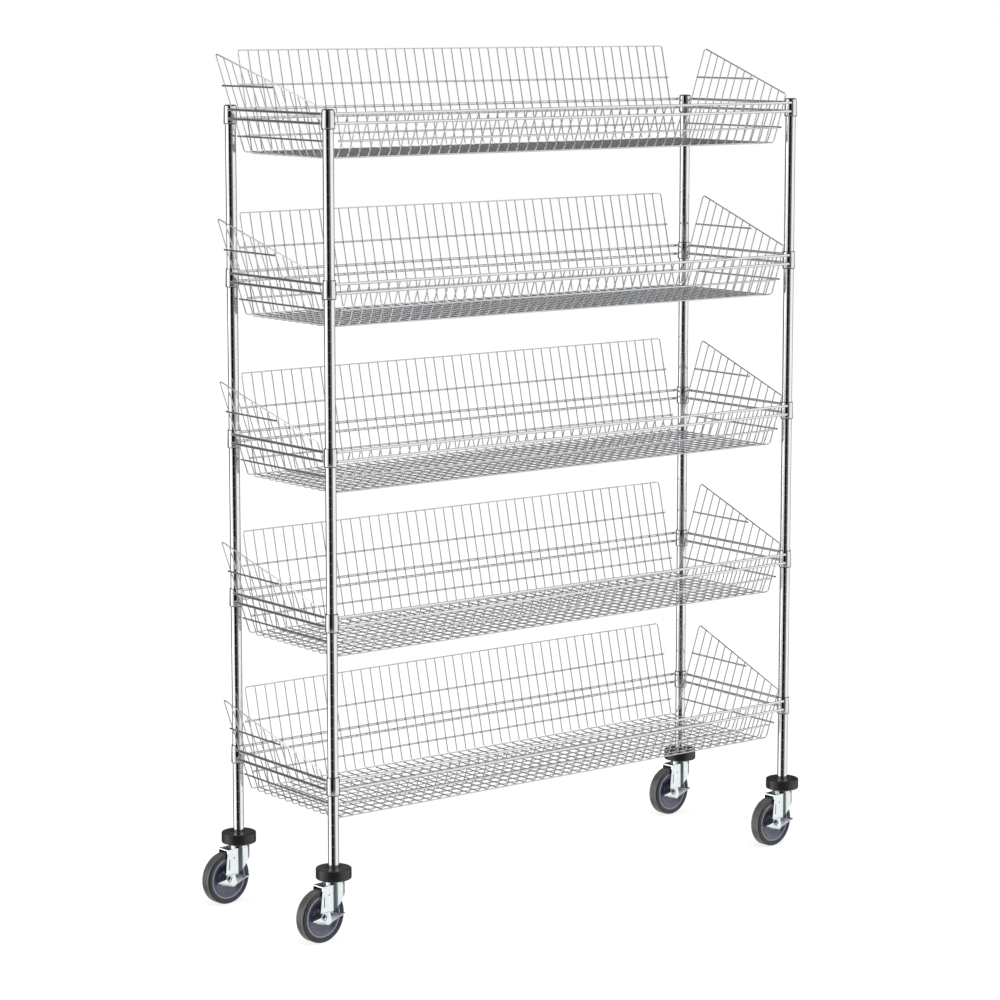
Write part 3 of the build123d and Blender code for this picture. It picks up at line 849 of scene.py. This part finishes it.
    def build_back(self) -> None:
        """High back wall with a rim wire bent round its two top corners and two bars outside."""
        work = Workpiece()
        start = self.back - self.setback(self.bend, self.back_slope)
        top = self.level + self.back_top
        route = [
            Vector((0.0, start, self.cross_z)),
            Vector((0.0, self.back, self.cross_z)),
            Vector((0.0, self.back_y(top), top)),
        ]
        self.add_uprights(work, route, 1)
        left = Vector((self.cross_xs[0], 0.0, 0.0))
        right = Vector((self.cross_xs[-1], 0.0, 0.0))
        rim = [p + left for p in route] + [p + right for p in reversed(route)]
        bends = [self.bend, self.corner_bend, self.corner_bend, self.bend]
        work.bent_rod(rim, bends, self.wire_radius)
        self.add_long_wire(work, self.long_places[-1])
        x = self.cross_span / 2 + self.bar_overhang
        for rise in (self.low_bar, self.high_bar):
            z = self.level + rise
            y = self.back_y(z) + self.outside(self.back_slope)
            self.add_bar(work, Vector((-x, y, z)), Vector((x, y, z)))
        self.hang(work, "back_wall", "grille")

    def side_route(self, place: tuple[float, float], side: Side) -> list[Vector]:
        """Floor end, corner and top of one side wall wire."""
        y, z = place
        share = (y - self.front) / (self.back - self.front)
        low, high = self.side_top
        top = self.level + low + share * (high - low)
        corner = self.side_x(z)
        start = corner - self.setback(self.side_bend, self.side_slope)
        sign = side.value
        return [
            Vector((sign * start, y, z)),
            Vector((sign * corner, y, z)),
            Vector((sign * self.side_x(top), y, top)),
        ]

    def build_sides(self) -> None:
        """Side walls with a slanting rim and two bars outside."""
        work = Workpiece()
        back_end = self.back + self.bar_overhang / 2
        for side in Side:
            for place in self.long_places[1:-1]:
                work.bent_rod(self.side_route(place, side), [self.side_bend], self.wire_radius)
            front = self.side_route(self.long_places[0], side)
            back = self.side_route(self.long_places[-1], side)
            bends = [self.side_bend, self.corner_bend, self.corner_bend, self.side_bend]
            work.bent_rod([*front, *reversed(back)], bends, self.wire_radius)
            spans = (
                (self.low_bar, self.front - self.bar_overhang),
                (self.high_bar, back_end - self.high_bar_length),
            )
            for rise, front_end in spans:
                z = self.level + rise
                x = side.value * (self.side_x(z) + self.outside(self.side_slope))
                self.add_bar(work, Vector((x, front_end, z)), Vector((x, back_end, z)))
        self.hang(work, "side_walls", "grilles")


@dataclass(frozen=True)
class Pedal:
    """A foot pedal's place on the lever plate, its lean, and how far it stands out and runs."""

    x: float
    z: float
    lean: float
    reach: float
    length: float


@dataclass
class Caster:
    """One braked swivel caster: turned wheel, tyre and bumper, and pressed parts in zinc."""

    finishes: Finishes
    corner: Corner
    wheel_radius: float = 0.0625
    tyre_half: float = 0.014
    shoulder: float = 0.0048
    rim_radius: float = 0.050
    rim_half: float = 0.0125
    hub_half: float = 0.015
    hub_radius: float = 0.014
    bore: float = 0.00505
    web_half: float = 0.003
    bumper_radius: float = 0.0415
    bumper_height: float = 0.025
    stem_bore: float = 0.00638
    lever_reach: float = 0.0184
    lever_sheet: float = 0.0025
    lever_outline: tuple[tuple[float, float], ...] = (
        (-0.038, -0.003),
        (-0.038, -0.006),
        (-0.004, -0.0155),
        (0.010, -0.0205),
        (0.0200, -0.0145),
        (0.029, 0.0015),
        (0.029, 0.005),
        (0.014, 0.0105),
        (-0.009, 0.009),
        (-0.014, 0.001),
    )
    leading_pedal: Pedal = Pedal(0.0270, 0.0005, lean=0.21, reach=0.0172, length=0.0218)
    trailing_pedal: Pedal = Pedal(-0.0375, -0.0045, lean=-0.27, reach=0.0110, length=0.040)
    wing: tuple[tuple[float, float, float], ...] = (
        (0.0135, 0.0095, 0.0015),
        (0.0205, -0.0150, 0.0015),
        (0.0430, 0.0035, 0.0150),
    )
    tooth_count: int = 6
    tooth_depth: float = 0.0018
    pedal_sheet: float = 0.0020
    wing_sheet: float = 0.00175
    tread_lines: tuple[float, float] = (0.0022, 0.0044)
    groove: float = 0.0004
    wear_and_sheen_depth: float = 0.0006
    hub_step: float = 0.0006
    hub_recess: float = 0.0016
    dish_power: float = 2.4
    bumper_edge: float = 0.0025
    bumper_angle: float = 0.7
    facet_angle: float = 0.5
    sides: int = 96

    def __post_init__(self) -> None:
        """Name the caster's bodies and find its wheel's place."""
        self.stem_name = f"caster_{self.corner.value}"
        self.rolling = f"{self.corner.value}_rolling"
        self.axle = axle_place(self.corner, self.wheel_radius)

    def build(self) -> None:
        """Make the turned pieces and dress the pressed ones."""
        self.build_tyre()
        self.build_wheel()
        self.build_bumper()
        self.build_brake()
        looks = {"stem": self.finishes.bolt, "fork": self.finishes.zinc, "axle": self.finishes.zinc}
        for part, material in looks.items():
            dress(f"{self.stem_name}_{part}", material)

    def mirrored(self, half: Sequence[tuple[float, float]]) -> list[tuple[float, float]]:
        """Close a half section, given from the rim round to the middle, with its mirror image."""
        return [*half, *((r, -h) for r, h in reversed(half))]

    def build_tyre(self) -> None:
        """Solid tyre with round shoulders, fine tread lines and a bead line on each side."""
        outer, half, lip = self.wheel_radius, self.tyre_half, self.rim_radius
        arc = [math.radians(a) for a in range(0, 91, 15)]
        centre_r, centre_h = outer - self.shoulder, half - self.shoulder
        shoulder = [
            (centre_r + self.shoulder * math.cos(a), centre_h + self.shoulder * math.sin(a)) for a in arc
        ]
        line = self.groove
        tread = [(outer, 0.0)]
        for place in self.tread_lines:
            tread += [(outer, place - line), (outer - line, place), (outer, place + line)]
        bead = [
            (lip + 0.0052, half),
            (lip + 0.0048, half - line),
            (lip + 0.0042, half),
            (lip + 0.002, half),
            (lip + 2 * line, half - line),
            (lip + SLIP, self.rim_half + 0.0001),
        ]
        work = Workpiece()
        outline = self.mirrored([*tread, *shoulder, *bead])
        work.turned(outline[:-1], self.axle, self.sides)
        # Paler tread band: partly real wear, partly a painted highlight.
        edge = outer - self.wear_and_sheen_depth
        work.paint_light_and_wear(self.axle, ((edge - self.wear_and_sheen_depth, 0.0), (edge, 1.0)))
        name = f"{self.stem_name}_tyre"
        look = self.finishes.tyre
        work.finish(f"{name}_tread", self.rolling, look, [name], self.facet_angle)

    def dish(
        self, outer: float, inner: float, height: float, steps: int = 10
    ) -> list[tuple[float, float]]:
        """Concave web profile that falls from the rim to the web's own thickness."""
        fall = height - self.web_half
        shares = [n / steps for n in range(steps + 1)]
        return [
            (outer + (inner - outer) * share, self.web_half + fall * (1.0 - share) ** self.dish_power)
            for share in shares
        ]

    def build_wheel(self) -> None:
        """Moulded core: lipped rim, dished web and a stepped hub."""
        lip, hub, top = self.rim_radius, self.hub_radius, self.hub_half
        step, recess = self.hub_step, self.bore + self.hub_recess
        half = [
            (lip, self.rim_half),
            (lip - 0.0040, self.rim_half),
            (lip - 0.0050, self.rim_half - 0.0008),
            *self.dish(lip - 0.0060, hub + 0.0078, self.rim_half - 0.0024),
            (hub + 0.0062, self.web_half + step),
            (hub + 0.0008, top - 0.0046),
            (hub, top - 0.0036),
            (hub - 0.0016, top - step),
            (hub - 0.0024, top),
            (recess, top),
            (recess, top - step),
            (self.bore, top - step),
        ]
        work = Workpiece()
        work.turned(self.mirrored(half), self.axle, self.sides)
        # Painted shade in the dish, lighter towards the rim, and a painted highlight on the rim lip.
        web = (0.02, 0.1), (lip - 0.018, 0.05), (lip - 0.010, 0.28)
        work.paint_light_and_wear(self.axle, (*web, (lip - 0.0055, 0.5), (lip - 0.0045, 0.85)))
        name = f"{self.stem_name}_wheel"
        look = self.finishes.wheel
        work.finish(f"{name}_core", self.rolling, look, [name], self.facet_angle)

    def build_brake(self) -> None:
        """Rocking brake lever: plate, folded wing, leading pedal and toothed trailing pedal."""
        out = -(self.axle.to_3x3() @ UP)
        along = UP.cross(out)
        frame = Matrix((along, UP, out)).transposed().to_4x4()
        base = Matrix.Translation(self.axle.translation + out * self.lever_reach) @ frame
        work = Workpiece()
        work.sheet(self.lever_outline, base, self.lever_sheet, hole=self.bore)
        self.add_pedal(work, base, self.trailing_pedal, self.teeth(self.trailing_pedal))
        length, reach = self.leading_pedal.length, self.leading_pedal.reach
        tip = [(length, 0.0), (length, reach * 0.75), (length * 0.9, reach)]
        self.add_pedal(work, base, self.leading_pedal, [(0.0, 0.0), *tip, (0.004, reach), (0.0, 0.003)])
        self.add_wing(work, base)
        node = f"{self.stem_name}_brake"
        lever = f"{self.corner.value}_lever"
        look = self.finishes.zinc
        work.finish(f"{node}_lever", lever, look, [node], self.facet_angle)

    def teeth(self, pedal: Pedal) -> list[tuple[float, float]]:
        """Outline of the trailing pedal: straight at the plate, toothed at its outer edge."""
        step = pedal.length / (self.tooth_count + 0.5)
        root = pedal.reach - self.tooth_depth
        outline = [(pedal.length, 0.0), (0.0, 0.0), (0.0, pedal.reach * 0.7)]
        for n in range(self.tooth_count):
            start = step * (n + 0.5)
            outline += [(start, pedal.reach), (start + step * 0.45, pedal.reach), (start + step * 0.55, root)]
        return [*outline, (pedal.length, root)]

    def add_pedal(
        self, work: Workpiece, base: Matrix, pedal: Pedal, outline: Sequence[tuple[float, float]]
    ) -> None:
        """A foot pedal standing out from the plate, at a place and lean in the plate's plane."""
        lean = Matrix.Rotation(pedal.lean, 4, "Z")
        upright = Matrix.Rotation(math.pi / 2, 4, "X")
        place = base @ Matrix.Translation((pedal.x, pedal.z, 0.0)) @ lean @ upright
        work.sheet(outline, place, self.pedal_sheet)

    def add_wing(self, work: Workpiece, base: Matrix) -> None:
        """Three-cornered web folded from the plate's front edge out to the leading pedal."""
        top, foot, tip = (base @ Vector(point) for point in self.wing)
        side = (foot - top).normalized()
        normal = side.cross(tip - top).normalized()
        turn = Matrix((side, normal.cross(side), normal)).transposed().to_4x4()
        place = Matrix.Translation(top) @ turn
        flat = [place.inverted() @ point for point in (top, foot, tip)]
        work.sheet([(p.x, p.y) for p in flat], place, self.wing_sheet)

    def build_bumper(self) -> None:
        """Round rubber bumper with soft edges and a shallow step round its hole."""
        low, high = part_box(f"{self.stem_name}_bumper")
        edge = self.bumper_edge
        arc = [math.radians(a) for a in range(0, 91, 18)]
        rim, top = self.bumper_radius - edge, self.bumper_height - edge
        corner = [(rim + edge * math.cos(a), top + edge * math.sin(a)) for a in arc]
        lower = [(r, self.bumper_height - h) for r, h in reversed(corner)]
        outline = [
            (self.stem_bore, 0.0),
            *lower,
            *corner,
            (0.0150, self.bumper_height),
            (0.0145, self.bumper_height - self.groove),
            (0.0134, self.bumper_height - self.groove),
            (0.0129, self.bumper_height),
            (self.stem_bore, self.bumper_height),
        ]
        work = Workpiece()
        work.turned(outline, Matrix.Translation(middle(low, high, low[2])), self.sides)
        name = f"{self.stem_name}_bumper"
        look = self.finishes.bumper
        work.finish(f"{name}_ring", "cart_frame", look, [name], self.bumper_angle)


def axle_place(corner: Corner, radius: float) -> Matrix:
    """Where a wheel's own axis stands: its Z along the axle, its middle at the wheel's centre."""
    low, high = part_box(f"caster_{corner.value}_wheel")
    joints = {joint["name"]: joint for joint in FRAME["record"]["behaviour"]["joints"]}
    axis = Vector(joints[f"{corner.value}_wheel_spin"]["axis"])
    return Matrix.Translation(middle(low, high, radius)) @ axis.to_track_quat("Z", "X").to_matrix().to_4x4()


# --- studio
@dataclass
class Studio:
    """Pale floor, soft light and the camera.

    The zones are brightness by direction round the cart, in degrees from the camera's side.
    The overhead and underfoot entries are start height, full height and brightness.
    """

    eye: Vector = field(default_factory=lambda: Vector((-4.68436, -6.03275, 2.13274)))
    heading: float = math.radians(37.464)
    pitch: float = math.radians(8.01)
    lens: float = 113.29
    rise: float = -0.05
    floor_radius: float = 14.0
    key_power: float = 110.0
    key_size: float = 3.0
    key_place: tuple[float, float, float] = (-1.2, -2.2, 5.0)
    key_target: tuple[float, float, float] = (0.0, 0.0, 0.8)
    zones: tuple[tuple[float, float], ...] = (
        *((-180, 0.2), (-118, 0.2), (-106, 0.05), (-101, 0.30), (-97, 2.2), (-72, 2.2)),
        *((-66, 1.1), (-44, 1.1), (-34, 0.005), (4, 0.01), (12, 0.10), (42, 0.22)),
        *((50, 1.15), (118, 1.15), (132, 0.12), (180, 0.10)),
    )
    overhead: tuple[float, float, float] = (0.72, 0.95, 1.1)
    underfoot: tuple[float, float, float] = (-0.4, -0.75, 0.75)

    def build(self) -> None:
        """Set up everything round the cart."""
        self.build_camera()
        self.build_floor()
        self.build_sky()
        self.build_key()

    def build_camera(self) -> None:
        """Camera at the viewing angle, level apart from its pitch."""
        data = bpy.data.cameras.new("camera")
        data.lens = self.lens
        data.shift_y = self.rise
        data.sensor_width = 36.0
        data.clip_end = 200.0
        camera = bpy.data.objects.new("camera", data)
        bpy.context.scene.collection.objects.link(camera)
        forward = Vector(
            (
                math.sin(self.heading) * math.cos(self.pitch),
                math.cos(self.heading) * math.cos(self.pitch),
                -math.sin(self.pitch),
            )
        )
        camera.location = self.eye
        camera.rotation_euler = forward.to_track_quat("-Z", "Y").to_euler()
        bpy.context.scene.camera = camera

    def build_key(self) -> None:
        """One large soft light overhead, a little to the front."""
        data = bpy.data.lights.new("key", "AREA")
        data.shape = "DISK"
        data.size = self.key_size
        data.energy = self.key_power
        key = bpy.data.objects.new("key", data)
        key.location = self.key_place
        aim = Vector(self.key_target) - Vector(self.key_place)
        key.rotation_euler = aim.to_track_quat("-Z", "Y").to_euler()
        key.visible_glossy = False
        bpy.context.scene.collection.objects.link(key)

    def build_floor(self) -> None:
        """Wide matte pale floor."""
        recipe = Recipe("pale_floor")
        recipe.fix(Roughness=0.9, Emission_Strength=0.8, Specular_IOR_Level=0.1)
        recipe.fix(Emission_Color=(1.0, 1.0, 1.0, 1.0))
        tone = recipe.blend(recipe.noise(0.8), (0.30, 0.30, 0.30), (0.33, 0.33, 0.33))
        recipe.join(tone, recipe.shader.inputs["Base Color"])
        bm = bmesh.new()
        bmesh.ops.create_circle(bm, cap_ends=True, segments=96, radius=self.floor_radius)
        mesh = bpy.data.meshes.new("floor")
        bm.to_mesh(mesh)
        bm.free()
        mesh.materials.append(recipe.material)
        floor = bpy.data.objects.new("floor", mesh)
        bpy.context.scene.collection.objects.link(floor)
        floor.visible_glossy = False

    def build_sky(self) -> None:
        """Soft white surroundings with a dark gap on the camera's side, for the chrome to show."""
        world = bpy.data.worlds.new("studio")
        bpy.context.scene.world = world
        sky = NodeTree(world)
        place = sky.add("ShaderNodeTexCoord").outputs["Generated"]
        towards = Vector((-math.sin(self.heading), -math.cos(self.heading), 0.0))
        rightwards = Vector((math.cos(self.heading), -math.sin(self.heading), 0.0))
        angle = sky.add("ShaderNodeMath", operation="ARCTAN2")
        for direction, target in zip((rightwards, towards), angle.inputs):
            dot = sky.add("ShaderNodeVectorMath", operation="DOT_PRODUCT")
            dot.inputs[1].default_value = direction
            sky.join(place, dot.inputs[0])
            sky.join(dot.outputs["Value"], target)
        ramp = sky.add("ShaderNodeValToRGB")
        while len(ramp.color_ramp.elements) < len(self.zones):
            ramp.color_ramp.elements.new(0.5)
        for element, (degrees, value) in zip(ramp.color_ramp.elements, self.zones):
            element.position = (degrees + 180) / 360
            element.color = (value, value, value, 1.0)
        sky.join(sky.ramp(angle.outputs[0], From_Min=-math.pi, From_Max=math.pi), ramp.inputs["Fac"])
        height = sky.add("ShaderNodeSeparateXYZ")
        sky.join(place, height.inputs[0])
        tone = ramp.outputs["Color"]
        for start, full, value in (self.overhead, self.underfoot):
            share = sky.ramp(height.outputs["Z"], From_Min=start, From_Max=full)
            tone = sky.blend(share, tone, (value, value, value))
        light, backdrop = sky.add("ShaderNodeBackground"), sky.add("ShaderNodeBackground")
        sky.join(tone, light.inputs["Color"])
        backdrop.inputs["Color"].default_value = (1.0, 1.0, 1.0, 1.0)
        choose = sky.add("ShaderNodeMixShader")
        sky.join(sky.add("ShaderNodeLightPath").outputs["Is Camera Ray"], choose.inputs["Fac"])
        sky.join(light.outputs[0], choose.inputs[1])
        sky.join(backdrop.outputs[0], choose.inputs[2])
        sky.join(choose.outputs[0], sky.add("ShaderNodeOutputWorld").inputs["Surface"])
        bpy.context.scene.view_settings.view_transform = "Standard"


def main() -> None:
    """Build the cart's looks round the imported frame."""
    logging.basicConfig(level=logging.INFO, format="%(message)s")
    FRAME.update(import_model())
    finishes = Finishes.mix()
    layout = Layout.read()
    Studio().build()
    Posts(layout, finishes).build()
    for number in range(1, layout.level_count + 1):
        Basket(layout, finishes, number).build()
    for corner in Corner:
        Caster(finishes, corner).build()


if __name__ == "__main__":
    main()
